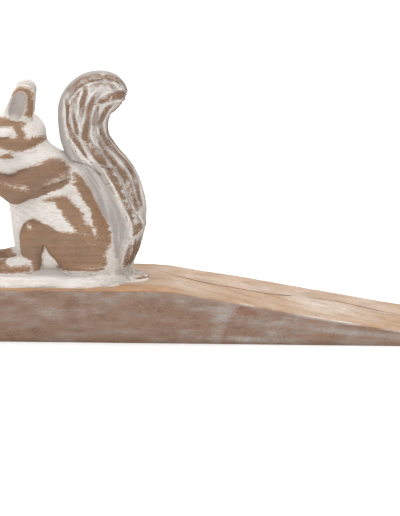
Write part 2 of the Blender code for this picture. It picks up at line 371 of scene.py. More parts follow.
def tail_crests(q):
    """How far points are outside the nearest crest, seen from the side, and how far from its nearer end."""
    reach, end = np.full(len(q), FAR), np.full(len(q), FAR)
    for path in TAIL_CRESTS:
        ends = [np.hypot(q[:, 0] - x, q[:, 2] - z) for x, z, _ in (path[0], path[-1])]
        to_end = np.minimum(*ends)
        outside = stroke(q, path) + 0.8 * soft_step(to_end, 3.0, 0.0)
        closer = outside < reach
        reach = np.where(closer, outside, reach)
        end = np.where(closer, to_end, end)
    return reach, end


def cut_tail(p, q):
    """The tail with its fur cut in: drawn crests on its two sides, and even channels round its edges."""
    distance, step, angle = tail_place(p)
    ridge, inside = tail_grooves(p, step, angle)
    near = distance < 4.0
    crest, end = np.full(len(p), FAR), np.full(len(p), FAR)
    crest[near], end[near] = tail_crests(q[near])
    drawn = soft_step(q[:, 1], 1.5, 5.0)
    ridge += (soft_step(crest, 1.1, -0.2) - ridge) * drawn
    ridge *= 1.0 - soft_step(stroke(q, TAIL_PARTING), 0.9, 0.0) * drawn

    fur = np.stack([TAIL_LENGTH[step], angle * 12.0, np.sign(p[:, 1]) * 20.0], axis=1)
    hair = 1.0 - np.abs(np.sin(math.pi * (fur[:, 1] / HAIR_PITCH + 0.6 * noise(fur, (18, 5, 5), 17))))
    depth = GROOVE_DEPTH * inside * (1.0 - ridge) + HAIR_DEPTH * inside * soft_step(hair, 0.5, 1.0)
    depth *= soft_step(p[:, 2], 30.0, 38.0)
    cracks = incise(stroke(q, TAIL_CRACK), 0.6, 0.45) + incise(stroke(q, LOCK_CRACK), 0.5, 0.4)
    tail = distance + depth + cracks * soft_step(q[:, 1], 2.0, 5.0)
    streak = rough_noise(fur, (22.0, 1.6, 30.0), 19)
    shape = dict(tail=tail, ridge=ridge, inside=inside, crest=crest, end=end)
    return dict(shape, drawn=drawn, hair=hair, streak=streak)


def mound_height(q):
    """The mound's height over the seat: a bevelled edge, then a gentler rise to its top."""
    spilt = soft_step(q[:, 0], -60.0, -48.0)
    edge = 3.2 * spilt * rough_noise(q, (5.0, 3.0, 20.0), 13) - stroke(q[:, [0, 2, 1]], MOUND_PLAN)
    rise = blend_union(1.25 * edge, 2.6 + 0.5 * edge, 1.0)
    top = np.interp(q[:, 0], *np.array(MOUND_TOP).T)
    top += 0.8 * spilt * rough_noise(q, (5.0, 4.0, 9.0), 15)
    return blend_union(rise, top, 1.0)


def carve_arm(q):
    """An arm from the shoulder to the paw, with three cuts between its fingers."""
    upper = limb(q, (-73.5, 7.2, 82.4), 7.8, (-92.5, 10.8, 74.6), 6.8, 0.7)
    fore = limb(q, (-92.5, 10.6, 74.4), 6.4, (-106.5, 6.0, 78.8), 4.2, 0.85)
    arm = blend_union(upper, fore, 1.5) + incise(stroke(q, ARM_SHADOW_CUT), 0.5, 0.45)
    paw = lump(q, (-109.4, 4.7, 79.8), (4.3, 3.3, 4.1))
    for z in (77.7, 79.7, 81.7):
        paw += incise(q[:, 2] - z, 0.6, 0.5) * soft_step(q[:, 0], -107.0, -109.0)
    return blend_union(arm, paw, 1.2)


def carve_leg(q):
    """The thigh, the haunch and the shin, with a notch between the last two."""
    thigh = limb(q, (-84.2, 9.0, 52.2), 6.8, (-66.0, 8.4, 45.4), 9.8, 0.8)
    haunch = block(q, (-59.6, 5.8, 42.4), (13.4, 9.0, 13.0), 8.8)
    shin = limb(q, (-85.6, 9.8, 50.0), 6.0, (-86.0, 9.8, 36.0), 4.6, 0.95)
    leg = blend_union(blend_union(thigh, haunch, 4.0), shin, 1.8)
    return blend_cut(leg, stroke(q, LEG_NOTCH), 1.6)


def carve_foot(q):
    """A foot with its instep, and three cuts between its toes."""
    sole = limb(q, (-88.0, 10.4, 35.6), 4.2, (-105.5, 9.0, 34.6), 3.6, 1.05)
    instep = limb(q, (-88.0, 10.4, 39.0), 3.6, (-97.0, 9.6, 35.7), 3.4)
    foot = blend_union(sole, instep, 2.0)
    for y in (6.7, 9.2, 11.7):
        foot += incise(q[:, 1] - y, 0.8, 0.55) * soft_step(q[:, 0], -98.5, -102.5)
    return foot


def carve_body(q, arm, leg):
    """The trunk and the neck, and the web that joins them to the tail, cut in round the arm and the leg."""
    trunk = limb(q, (-76.0, 0.0, 80.5), 12.8, (-69.0, 0.0, 52.0), 20.5, 0.68)
    belly = limb(q, (-86.6, 0.0, 70.0), 11.5, (-79.4, 0.0, 42.0), 15.5, 0.68)
    neck = limb(q, (-88.0, 0.0, 97.0), 8.5, (-80.0, 0.0, 83.0), 11.5, 0.9)
    chest = lump(q, (-93.5, 0.0, 86.0), (12.0, 9.6, 9.0))
    back = limb(q, (-65.0, 0.0, 83.0), 8.0, (-52.0, 0.0, 50.0), 11.0)
    rump = limb(q, (-56.5, 0.0, 54.0), 11.0, (-55.0, 0.0, 38.0), 11.0, 1.22)
    root = limb(q, (-52.0, 0.0, 50.0), 11.0, (-50.0, 0.0, 32.0), 11.0)
    web = blend_all((back, rump, root), 3.0)
    body = blend_all((trunk, belly, neck, chest, web), 3.0)
    body += incise(arm - 0.6, 0.45, 1.4) * soft_step(q[:, 0], -66.0, -78.0)
    body += incise(leg - 0.6, 0.5, 1.3) * soft_step(q[:, 0], -62.0, -70.0)
    return body + incise(stroke(q, BACK_GROOVE), 0.9, 1.3) * soft_step(q[:, 1], 4.0, 8.0)


def carve_head(q):
    """The head with its muzzle, cheek and nose, an eye in its socket, and the mouth."""
    skull = lump(q, (-94.8, 0.0, 101.3), (15.2, 12.2, 12.8))
    nape = lump(q, (-88.2, 0.0, 100.5), (10.2, 10.4, 8.6))
    muzzle = limb(q, (-95.0, 0.0, 101.0), 11.2, (-109.0, 0.0, 97.5), 5.2, 0.9)
    cheek = lump(q, (-98.0, 7.2, 97.5), (7.5, 4.8, 6.5))
    nose = lump(q, (-112.6, 0.0, 99.4), (2.0, 2.4, 1.8))
    head = blend_union(blend_all((skull, nape, muzzle, cheek), 3.0), nose, 0.6)
    eye = np.hypot((q[:, 0] - EYE_PLACE[0]) / EYE_REACH[0], (q[:, 2] - EYE_PLACE[1]) / EYE_REACH[1])
    socket = incise(eye - 1.0, 0.75, 0.26)
    eyeball = 0.5 * np.clip(1.0 - eye**2, 0.0, 1.0)
    head += soft_step(q[:, 1], 3.0, 5.0) * (socket - eyeball)
    return head + incise(stroke(q, MOUTH), 0.8, 0.7)


def squirrel(p):
    """Distances from points p to each carved region, and to the whole squirrel, as a dict."""
    p = ease(p - FIGURE_PLACE)
    q = p.copy()
    q[:, 1] = np.abs(q[:, 1])
    part = {"arm": carve_arm(q), "leg": carve_leg(q), "foot": carve_foot(q), "head": carve_head(q)}
    part["body"] = carve_body(q, part["arm"], part["leg"])
    ear = limb(q, (-90.4, 6.2, 112.8), 6.9, (-87.9, 6.9, 121.2), 5.4, 0.5)
    part["hollow"] = lump(q, (-90.8, 9.8, 116.6), (4.0, 3.6, 7.4), 24.0)
    part["ear"] = blend_cut(ear, part["hollow"], 0.7)
    nut = lump(q, (-111.2, 0.0, 81.2), (4.6, 4.6, 6.0), 15.0)
    nut_cup = lump(q, (-110.7, 0.0, 84.3), (5.0, 5.0, 2.7), 15.0)
    part["nut"] = blend_union(nut, nut_cup, 0.3)
    part["mound"] = 0.8 * (q[:, 2] - SEAT_DRAWN - mound_height(q))
    part.update(cut_tail(p, q))

    whole = part["body"]
    for name, fillet in FILLETS:
        whole = blend_union(whole, part[name], fillet)
    part["whole"] = np.maximum(whole, SEAT_DRAWN - FOOT_SINK - p[:, 2])
    return part


# ---------------------------------------------------------------- from distances to a mesh

CARVING_STEP = 0.52
SEARCH_STEP = 2.08
MESH_MARGIN = 2.5


def sample_near_surface(low, high):
    """The squirrel's distance on a fine grid from low to high, worked out only near the surface."""
    ratio = round(SEARCH_STEP / CARVING_STEP)
    blocks = np.ceil((high - low) / SEARCH_STEP).astype(int)
    axes = [low[i] + SEARCH_STEP * np.arange(blocks[i] + 1) for i in range(3)]
    coarse_points = np.stack(np.meshgrid(*axes, indexing="ij"), axis=-1).reshape(-1, 3)
    coarse = squirrel(coarse_points)["whole"].reshape(blocks + 1)
    low_end, high_end = np.full(blocks, np.inf), np.full(blocks, -np.inf)
    for corner in product((0, 1), repeat=3):
        view = coarse[tuple(slice(c, c + n) for c, n in zip(corner, blocks))]
        low_end, high_end = np.minimum(low_end, view), np.maximum(high_end, view)
    wanted = (low_end < SEARCH_STEP) & (high_end > -SEARCH_STEP)
    field = np.kron(np.where(low_end > 0, FAR, -FAR), np.ones((ratio, ratio, ratio)))
    mask = np.kron(wanted, np.ones((ratio, ratio, ratio), bool)).astype(bool)
    index = np.argwhere(mask)
    points = low + CARVING_STEP * index
    field[mask] = squirrel(points)["whole"]
    return field


def surface_net(field, low, step):
    """Vertices and quads of the surface where field crosses zero, with one vertex in each cell it crosses."""
    inside = field < 0
    size = np.array(field.shape) - 1
    corner = {c: tuple(slice(c[i], c[i] + size[i]) for i in range(3)) for c in product((0, 1), repeat=3)}
    count = sum(inside[s].astype(np.int8) for s in corner.values())
    mixed = (count > 0) & (count < 8)
    cells = np.argwhere(mixed)
    number = np.full(mixed.shape, -1)
    number[mixed] = np.arange(len(cells))
    total, hits = np.zeros((len(cells), 3)), np.zeros(len(cells))
    for a, b in product(corner, repeat=2):
        if sum(b) - sum(a) != 1 or any(x > y for x, y in zip(a, b)):
            continue
        fa, fb = field[corner[a]][mixed], field[corner[b]][mixed]
        crossing = (fa < 0) != (fb < 0)
        t = np.where(crossing, fa / np.where(crossing, fa - fb, 1.0), 0.0)
        total += crossing[:, None] * (np.array(a) + t[:, None] * (np.array(b) - np.array(a)))
        hits += crossing
    vertices = low + step * (cells + total / hits[:, None])
    quads = []
    for axis in range(3):
        u, v = (axis + 1) % 3, (axis + 2) % 3
        near = [slice(None)] * 3
        far = [slice(None)] * 3
        near[axis], far[axis] = slice(0, -1), slice(1, None)
        change = inside[tuple(near)] != inside[tuple(far)]
        at = np.argwhere(change)
        at = at[(at[:, u] > 0) & (at[:, v] > 0) & (at[:, u] < size[u]) & (at[:, v] < size[v])]
        starts_inside = inside[tuple(at.T)]
        ring = []
        for du, dv in ((-1, -1), (0, -1), (0, 0), (-1, 0)):
            cell = at.copy()
            cell[:, u] += du
            cell[:, v] += dv
            ring.append(number[tuple(cell.T)])
        ring = np.stack(ring, axis=1)
        quads.append(np.where(starts_inside[:, None], ring, ring[:, ::-1]))
    return vertices, np.vstack(quads)


def slope_of(points, reach=0.12):
    """The squirrel's distance at points, and its gradient there."""
    here = squirrel(points)["whole"]
    gradient = np.empty_like(points)
    for axis in range(3):
        moved = points.copy()
        moved[:, axis] += reach
        gradient[:, axis] = (squirrel(moved)["whole"] - here) / reach
    return here, gradient


def settle(vertices, rounds=2):
    """Slides the vertices onto the exact surface, and returns them with their outward normals."""
    for _ in range(rounds):
        here, gradient = slope_of(vertices)
        length = np.maximum(np.linalg.norm(gradient, axis=1), 0.3)
        shift = np.clip(here / length, -0.4 * CARVING_STEP, 0.4 * CARVING_STEP)
        vertices = vertices - (shift / length)[:, None] * gradient
    return vertices, gradient / np.linalg.norm(gradient, axis=1)[:, None]


# ---------------------------------------------------------------- the squirrel's paint

# How much paint each region keeps before the strokes below, from 0, bare wood, to 1, solid white, and how
# grey it is.
REGION_PAINT = {
    "mound": (1.0, 0.05),
    "body": (0.98, 0.05),
    "head": (0.90, 0.12),
    "ear": (0.86, 0.30),
    "arm": (0.03, 0.30),
    "leg": (0.02, 0.30),
    "foot": (0.45, 0.35),
    "tail": (0.86, 0.85),
    "nut": (0.12, 0.35),
}

# Strokes rubbed bare or left white, seen from the side: x, z, half width.
FLANK_RUB = [
    (-79.0, 69.0, 0.6), (-73.5, 70.0, 1.6), (-70.0, 68.5, 3.5), (-65.5, 64.0, 4.2), (-61.5, 60.0, 4.6),
    (-56.5, 52.5, 4.6),
]
BACK_RUB = [
    (-62.5, 80.5, 2.6), (-58.5, 75.0, 3.8), (-55.5, 70.0, 3.8), (-53.0, 64.5, 3.8), (-51.0, 59.0, 3.8),
    (-50.0, 50.0, 4.6),
]
BACK_STRIP = [
    (-68.5, 77.5, 0.6), (-64.5, 72.5, 1.4), (-61.5, 68.0, 1.5), (-58.5, 63.5, 1.5), (-56.5, 59.5, 1.3),
    (-55.0, 57.5, 0.6),
]
BROW = [
    (-106.0, 107.0, 1.0), (-99.5, 108.0, 1.8), (-95.0, 108.5, 1.8), (-91.0, 108.0, 1.7),
    (-88.0, 109.5, 1.4), (-86.0, 111.5, 1.6),
]
CHEEK = [
    (-110.5, 98.0, 2.4), (-99.0, 99.0, 2.6), (-92.0, 97.5, 3.4), (-87.5, 97.0, 3.0), (-84.0, 98.0, 2.9),
    (-80.0, 98.5, 2.4),
]
EAR_RIM = [
    (-93.0, 122.0, 0.7), (-89.5, 125.0, 0.8), (-85.5, 124.0, 1.6), (-84.5, 120.5, 1.9),
    (-84.5, 116.5, 2.0), (-84.5, 113.0, 2.2),
]
SHOULDER_RUB = [
    (-96.0, 80.0, 1.0), (-88.8, 82.4, 1.8), (-80.5, 85.8, 2.2), (-74.6, 86.0, 2.8), (-69.0, 84.6, 2.4),
]
SHOULDER_WHITE = [
    (-84.0, 88.5, 1.0), (-74.0, 92.5, 2.0), (-67.0, 90.5, 1.6), (-64.0, 85.0, 1.2), (-64.5, 78.0, 0.8),
]
EYE_WHITE = [(-102.0, 103.9, 1.8), (-97.0, 104.2, 1.7), (-94.5, 103.9, 1.2), (-92.3, 102.6, 0.3)]

# (region, paint left, stroke), in the order they are laid.
STROKES = [
    ("body", 0.14, FLANK_RUB),
    ("body", 0.04, BACK_RUB),
    ("body", 0.98, BACK_STRIP),
    ("body", 0.92, [(-53.6, 54.8, 0.7), (-53.0, 53.2, 0.7)]),
    ("body", 0.06, SHOULDER_RUB),
    ("leg", 0.02, [(-61.0, 54.0, 3.0), (-49.0, 52.0, 3.0)]),
    ("head", 0.03, BROW),
    ("head", 0.04, CHEEK),
    ("head", 0.10, [(-90.1, 105.9, 1.7), (-89.6, 102.5, 2.4), (-90.2, 100.0, 2.4)]),
    ("head", 0.84, [(-85.6, 107.6, 1.0), (-83.5, 104.9, 2.0), (-81.8, 103.2, 1.2)]),
    ("head", 0.06, [(-98.9, 90.6, 1.3), (-95.8, 91.4, 2.2), (-93.9, 90.0, 1.1)]),
    ("head", 0.05, [(-114.0, 99.6, 2.4), (-111.5, 99.6, 2.4)]),
    ("head", 0.97, EYE_WHITE),
    ("ear", 0.04, EAR_RIM),
    ("arm", 0.42, [(-99.0, 78.5, 0.8), (-87.5, 76.5, 1.6)]),
    ("arm", 0.44, [(-77.0, 78.5, 1.4), (-67.5, 81.5, 2.6)]),
    ("arm", 0.92, SHOULDER_WHITE),
    ("body", 0.55, [(-66.5, 82.5, 1.5), (-63.5, 80.0, 1.5)]),
    # A small white spot on the knee: a painted highlight.
    ("leg", 0.72, [(-86.6, 56.8, 0.7), (-85.9, 56.5, 0.7)]),
    ("leg", 0.40, [(-62.0, 36.6, 0.7), (-52.0, 36.4, 0.9)]),
    ("foot", 0.05, [(-106.0, 37.0, 2.4), (-98.5, 38.6, 1.6)]),
    ("foot", 0.95, [(-96.0, 38.4, 1.6), (-91.0, 39.6, 2.2), (-87.5, 38.2, 1.2)]),
    ("foot", 0.08, [(-103.0, 34.0, 1.4), (-86.0, 34.5, 1.3)]),
    ("tail", 0.98, [(-51.9, 121.7, 0.7), (-48.6, 123.5, 1.6), (-45.2, 125.0, 0.9)]),
    ("tail", 1.10, TAIL_PARTING),
]


# How far apart regions are told apart, and how far the paint's edges drift, in millimetres.
REGION_BLEND = 0.5
EDGE_DRIFT = 1.5
STROKE_DRIFT = 1.25
DRIFT_SEED = 31
HOLLOW_REACH = 0.9
SHORE_HEIGHT = 6.6
# The darkest that cracks and painted shade may make a vertex.
MOST_DIRT_AND_SHADE = 1.8


def drifted(points, strength, seed):
    """The points moved about by ragged noise, mostly along X, as the worn edge of paint follows the grain."""
    fine = np.stack([rough_noise(points, (9.0, 3.0, 1.5), seed + 4 * i) for i in range(2)], axis=1)
    moved = points.copy()
    moved[:, 0] += 1.5 * strength * fine[:, 0]
    moved[:, 2] += 0.6 * strength * fine[:, 1]
    return moved


def region_shares(vertices, part):
    """Each vertex's distance to each region, with ragged edges, and how much of it each region has."""
    ragged = squirrel(drifted(vertices, EDGE_DRIFT, DRIFT_SEED))
    reach = np.stack([part[name] if name == "tail" else ragged[name] for name in REGION_PAINT], axis=1)
    share = np.exp(-np.clip(reach - reach.min(axis=1, keepdims=True), 0, 30) / REGION_BLEND)
    return reach, share / share.sum(axis=1, keepdims=True)


def wear_tail(paint, grey, vertices, part, is_tail):
    """(paint, grey, line): the tail's crests are rubbed bare, with a painted highlight as a bright line
    beside them and a painted shadow as a dark line along their edges.
    """
    z = vertices[:, 2]
    worn = 0.35 * rough_noise(vertices, (3, 3, 7), 21)
    edge_crest = soft_step(part["ridge"] + worn, 0.35, 0.8) * part["inside"]
    side_crest = soft_step(part["crest"] + 0.2 + worn, 0.5, -0.5)
    crest = edge_crest + (side_crest - edge_crest) * part["drawn"]
    furred = is_tail * soft_step(z, 33.0, 38.0)

    # Paint is lost in patches between the crests, and in streaks and hair by hair close to them.
    channel = part["inside"] * soft_step(part["crest"], 6.0, 2.0)
    paint = paint - 0.22 * channel * is_tail * soft_step(rough_noise(vertices, (5, 5, 5), 27), -0.4, 0.5)
    furry = 1.0 - part["drawn"] * soft_step(part["crest"], 2.0, 4.5)
    streak = soft_step(part["streak"], 0.15, 0.6) * soft_step(z, 30.0, 40.0)
    paint -= 0.30 * is_tail * furry * streak
    paint -= 0.28 * is_tail * furry * part["inside"] * soft_step(part["hair"], 0.55, 0.95)
    bare = 0.08 + 0.42 * soft_step(rough_noise(vertices, (3, 3, 4), 25), -0.1, 0.6)
    paint += (bare - paint) * furred * crest

    # Away from the crests the paint is greyer. High on the smooth front band it is greyer still, as painted
    # shade.
    grey = grey + is_tail * (1.0 - furry) * (0.1 + 0.9 * part["streak"])
    grey += 0.35 * is_tail * (1.0 - part["inside"]) * soft_step(z, 86.0, 98.0)
    grey -= is_tail * part["inside"] * furry * (0.40 + 0.5 * rough_noise(vertices, (5, 5, 9), 39))

    # Beside each crest a bright line of whiter paint is a painted highlight, and on its edge a dark line is a
    # painted shadow; both fade out near the crest's ends.
    lined = part["drawn"] * furred * soft_step(part["end"], 0.6, 3.2)
    beside = np.exp(-(((part["crest"] - 0.9) / 0.45) ** 2)) * lined
    line = np.exp(-(((part["crest"] - 0.10 + 0.5 * worn) / 0.30) ** 2)) * lined
    return paint + 0.30 * beside * (1.0 - crest), grey - 0.75 * beside, line


def paint_strokes(paint, vertices, normals, share):
    """The paint once the strokes are laid, and the mound's paint run up over the foot of the haunch."""
    rubbed = drifted(vertices - FIGURE_PLACE, STROKE_DRIFT, DRIFT_SEED)
    outward = soft_step(normals[:, 1] * np.sign(vertices[:, 1]), -0.1, 0.35)
    for region, left, path in STROKES:
        cover = soft_step(stroke(rubbed, path), 1.9, -1.7) * share[region]
        cover *= outward if region == "ear" else 1.0
        paint = paint + (left - paint) * cover
    shoreline = rubbed[:, 2] - SEAT_DRAWN - SHORE_HEIGHT
    return paint + (0.9 - paint) * share["leg"] * soft_step(shoreline, 0.9, -0.5)


def crack_and_shadow_weight(vertices):
    """How far each vertex lies in a crack in the paint or on the painted shadow line under the arm, which
    shows in some places and not in others.
    """
    crack = np.zeros(len(vertices))
    for path in (TAIL_CRACK, LOCK_CRACK, ARM_SHADOW_CUT):
        crack = np.maximum(crack, np.exp(-((stroke(vertices - FIGURE_PLACE, path) / 0.45) ** 2)))
    return crack * (0.35 + 0.65 * soft_step(rough_noise(vertices, (2.5, 2.5, 2.5), 29), -0.3, 0.3))


def paint_squirrel(vertices, normals):
    """The paint, its greyness, the dirt and painted shade, and the growth rings at each vertex, as a dict of
    arrays.
    """
    part = squirrel(vertices)
    drawn = vertices - FIGURE_PLACE
    reach, shares = region_shares(vertices, part)
    share = dict(zip(REGION_PAINT, shares.T))
    paint, grey = (shares @ np.array(list(REGION_PAINT.values()))).T
    paint, grey, line = wear_tail(paint, grey, vertices, part, share["tail"])

    # Paint stays where two regions meet, but not behind the haunch, where one rub ran over both.
    ordered = np.sort(reach, axis=1)
    valley = np.exp(-np.clip(ordered[:, 1] - ordered[:, 0] - 0.1, 0, 30) / REGION_BLEND)
    valley *= 1.0 - soft_step(drawn[:, 0], -70.0, -64.0) * soft_step(drawn[:, 2], 41.0, 45.0)
    paint = np.maximum(paint, 0.85 * valley * (1.0 - share["tail"]) * (1.0 - share["arm"]))
    paint = paint_strokes(paint, vertices, normals, share)

    # Sharp outer edges are rubbed. Hollows, the dark lines by the tail's crests and the line under the arm
    # are darkened as painted shade, and the cracks in the tail's paint are darkened as dark cracks.
    reach_in, reach_out = (squirrel(vertices + side * HOLLOW_REACH * normals)["whole"] for side in (-1, 1))
    hollow = np.clip(1.0 - reach_out / HOLLOW_REACH, 0.0, 1.0)
    edge = np.clip(1.0 + reach_in / HOLLOW_REACH, 0.0, 1.0)
    paint -= 0.3 * soft_step(edge, 0.15, 0.5) * (1.0 - 0.8 * share["tail"])
    # The ear's cup keeps its paint, and is greyed and darkened as painted shade.
    ear_cup = soft_step(part["hollow"], 0.9, 0.0) * share["ear"]
    dirt_and_shade = 0.7 * soft_step(hollow, 0.05, 0.7) + MOST_DIRT_AND_SHADE * crack_and_shadow_weight(vertices)
    dirt_and_shade += 0.5 * ear_cup + 1.2 * line
    paint += (0.8 - paint) * ear_cup

    # The paint thins where the mound runs out beside the tail. It is grey on the mound's upward-facing top,
    # partly grey dirt and partly painted shade from the squirrel above.
    spilt = share["mound"] * soft_step(drawn[:, 0], -41.0, -33.0)
    paint -= 0.55 * spilt * soft_step(rough_noise(vertices, (7.0, 2.0, 2.0), 45), -0.25, 0.4)
    grey += 0.55 * share["mound"] * soft_step(normals[:, 2], 0.72, 0.86) + 0.4 * ear_cup
    grey = np.clip(grey + 0.35 * rough_noise(vertices, (12, 12, 12), 35), 0.0, 1.0)

    growth = np.hypot(vertices[:, 1] + 31.0, 0.8 * vertices[:, 2] + 24.0)
    growth += 1.2 * rough_noise(vertices, (60, 14, 14), 51)
    dark = 0.75 * share["tail"] + 0.55 * share["arm"]
    dark += 0.35 * soft_step(rough_noise(vertices, (16, 10, 10), 37), 0.1, 0.6)
    return {
        "paint": paint,
        "grey": grey,
        "dirt_and_shade": np.clip(dirt_and_shade, 0.0, MOST_DIRT_AND_SHADE),
        "growth": growth,
        "dark": np.clip(dark, 0.0, 1.0),
    }


# ---------------------------------------------------------------- meshes


def mesh_object(name, vertices, face_sets, values):
    """An object from vertices in millimetres, sets of quads or triangles, and values at each vertex."""
    mesh = bpy.data.meshes.new(name)
    mesh.vertices.add(len(vertices))
    mesh.vertices.foreach_set("co", (vertices * MM).astype(np.float32).ravel())
    corners = np.concatenate([faces.ravel() for faces in face_sets]).astype(np.int32)
    sides = np.concatenate([np.full(len(faces), faces.shape[1]) for faces in face_sets]).astype(np.int32)
    mesh.loops.add(len(corners))
    mesh.loops.foreach_set("vertex_index", corners)
    mesh.polygons.add(len(sides))
    mesh.polygons.foreach_set("loop_start", (np.cumsum(sides) - sides).astype(np.int32))
    mesh.polygons.foreach_set("loop_total", sides)
    mesh.update(calc_edges=True)
    mesh.validate()
    mesh.shade_smooth()
    for key, numbers in values.items():
        mesh.attributes.new(key, "FLOAT", "POINT").data.foreach_set("value", numbers.astype(np.float32))
    made = bpy.data.objects.new(name, mesh)
    bpy.context.collection.objects.link(made)
    return made


def make_squirrel():
    """The carved and painted squirrel."""
    low = FIGURE_LOW - MESH_MARGIN
    field = sample_near_surface(low, FIGURE_HIGH + MESH_MARGIN)
    vertices, quads = surface_net(field, low, CARVING_STEP)
    vertices, normals = settle(vertices)
    return mesh_object("carved_squirrel", vertices, [quads], paint_squirrel(vertices, normals))


# ---------------------------------------------------------------- the wedge

RAMP_START_X = -18.0
TIP_HEIGHT = 4.4
CROWN_RADIUS = 60.0
SLOPE = math.atan2(SEAT_Z - TIP_HEIGHT, TIP_X - RAMP_START_X)
STATION_STEP = 0.7
HEEL_ROUND, TIP_ROUND, LOW_ROUND = 2.2, 0.9, 0.3
EDGE_ROUND, EDGE_WEAR = 1.35, 0.45
CENTRE_SCALE = 0.04
SOLE_POINTS, SIDE_POINTS, TOP_POINTS = 36, 44, 104

# The line of a long check in the ramp's grain: x, y, half width.
CHECK = np.array(
    [
        (-23.0, 10.6, 0.14),
        (-14.5, 5.0, 0.34),
        (-3.0, 1.6, 0.45),
        (7.0, 1.5, 0.42),
        (16.0, 1.4, 0.40),
        (33.0, 0.8, 0.40),
        (43.0, 3.2, 0.55),
        (45.0, 6.0, 0.10),
        (52.0, 6.0, 0.00),
        (60.0, 7.9, 0.26),
        (67.0, 8.7, 0.40),
        (78.0, 7.0, 0.44),
        (88.0, 5.0, 0.42),
        (99.0, 3.4, 0.34),
        (112.0, 1.8, 0.10),
    ]
)


def top_height(x):
    """The height of the wedge's top: flat at the heel, round the crown, then down the ramp."""
    ramp = SEAT_Z - (x - RAMP_START_X) * math.tan(SLOPE)
    reach = CROWN_RADIUS * math.tan(SLOPE / 2)
    centre_x = RAMP_START_X - reach
    crown = SEAT_Z - CROWN_RADIUS + np.sqrt(np.maximum(CROWN_RADIUS**2 - (x - centre_x) ** 2, 0.0))
    end_x = centre_x + CROWN_RADIUS * math.sin(SLOPE)
    return np.where(x < centre_x, SEAT_Z, np.where(x < end_x, crown, ramp))


def top_swell(x, y):
    """How far the hand-cut top stands above that plain line: up behind the tail, down on the near side."""
    climb = 0.8 * np.exp(-(((x + 36.0) / 12.0) ** 2)) * soft_step(y, -15.0, 6.0)
    dip = 0.6 * np.exp(-(((x - 62.0) / 28.0) ** 2)) * soft_step(y, -4.0, -22.0)
    return climb - dip


def stations():
    """(x, inset, scale) of each ring of the wedge's skin, from the middle of the heel to that of the tip."""
    quarter = np.radians(np.linspace(0, 90, 7))
    heel = [(HEEL_X, HEEL_ROUND, s) for s in np.linspace(CENTRE_SCALE, 1.0, 26)[:-1]]
    heel += [(HEEL_X + HEEL_ROUND * (1 - math.cos(a)), HEEL_ROUND * (1 - math.sin(a)), 1.0) for a in quarter]
    count = round((TIP_X - TIP_ROUND - HEEL_X - HEEL_ROUND) / STATION_STEP)
    length = [(x, 0.0, 1.0) for x in np.linspace(HEEL_X + HEEL_ROUND, TIP_X - TIP_ROUND, count + 1)[1:-1]]
    tip = [(TIP_X - TIP_ROUND * (1 - math.sin(a)), TIP_ROUND * (1 - math.cos(a)), 1.0) for a in quarter]
    tip += [(TIP_X, TIP_ROUND, s) for s in np.linspace(1.0, CENTRE_SCALE, 14)[1:]]
    return heel + length + tip


def ring(x, inset, scale, corner):
    """One closed cross-section of the wedge as (y, z) points, shrunk about its own middle by scale."""
    half = HALF_WIDTH - inset
    low, high = inset, top_height(x) - inset
    low_round = min(LOW_ROUND, 0.3 * (high - low))
    high_round = min(corner, 0.45 * (high - low))
    turn = np.radians(np.linspace(0, 90, 6))[1:-1]
    top_turn = np.radians(np.linspace(0, 90, 9))[1:-1]
    sole = np.linspace(-half + low_round, half - low_round, SOLE_POINTS)
    side = np.linspace(low + low_round, high - high_round, SIDE_POINTS)
    top = np.linspace(half - high_round, -half + high_round, TOP_POINTS)
    y = [sole, half - low_round + low_round * np.sin(turn), np.full(SIDE_POINTS, half)]
    z = [np.full(SOLE_POINTS, low), low + low_round - low_round * np.cos(turn), side]
    y += [half - high_round + high_round * np.cos(top_turn), top]
    z += [high - high_round + high_round * np.sin(top_turn), np.full(TOP_POINTS, high)]
    y += [-half + high_round - high_round * np.sin(top_turn), np.full(SIDE_POINTS, -half)]
    z += [high - high_round + high_round * np.cos(top_turn), side[::-1]]
    y += [-half + low_round - low_round * np.cos(turn)]
    z += [low + low_round - low_round * np.sin(turn)]
    middle = 0.5 * (low + high)
    return scale * np.concatenate(y), middle + scale * (np.concatenate(z) - middle)


def wedge_grid():
    """The wedge's smooth skin as a grid of points: rings by points round the ring."""
    rows = []
    for x, inset, scale in stations():
        place = np.array([[x, 0.0, 0.0]])
        wear = noise(place, 13.0, 61)[0] + 0.6 * noise(place, 4.5, 62)[0]
        y, z = ring(x, inset, scale, EDGE_ROUND + EDGE_WEAR * wear)
        rows.append(np.stack([np.full(len(y), x), y, z], axis=1))
    return np.array(rows)


def grid_faces(rows, columns):
    """Quads of a grid that closes round on itself, and fans of triangles to a point at each end."""
    i, j = np.meshgrid(np.arange(rows - 1), np.arange(columns), indexing="ij")
    i, j = i.ravel(), j.ravel()
    k = (j + 1) % columns
    here, ahead = i * columns, (i + 1) * columns
    quads = np.stack([here + j, here + k, ahead + k, ahead + j], axis=1)
    a = np.arange(columns)
    b = (a + 1) % columns
    last, heel_point, tip_point = (rows - 1) * columns, rows * columns, rows * columns + 1
    heel = np.stack([b, a, np.full(columns, heel_point)], axis=1)
    tip = np.stack([last + a, last + b, np.full(columns, tip_point)], axis=1)
    return [quads, np.vstack([heel, tip])]


def grid_normals(grid):
    """Outward unit normals of the grid."""
    along = np.gradient(grid, axis=0)
    round_ring = np.roll(grid, -1, axis=1) - np.roll(grid, 1, axis=1)
    normal = np.cross(round_ring, along)
    return normal / np.maximum(np.linalg.norm(normal, axis=2, keepdims=True), 1e-9)


# Knots in the wedge's grain: place, size and how far they push the rings.
KNOTS = [((15.0, -24.0, 9.0), 9.0, 7.0), ((26.0, -25.0, 17.0), 7.0, -4.0), ((72.0, 24.0, 10.0), 8.0, 5.0)]


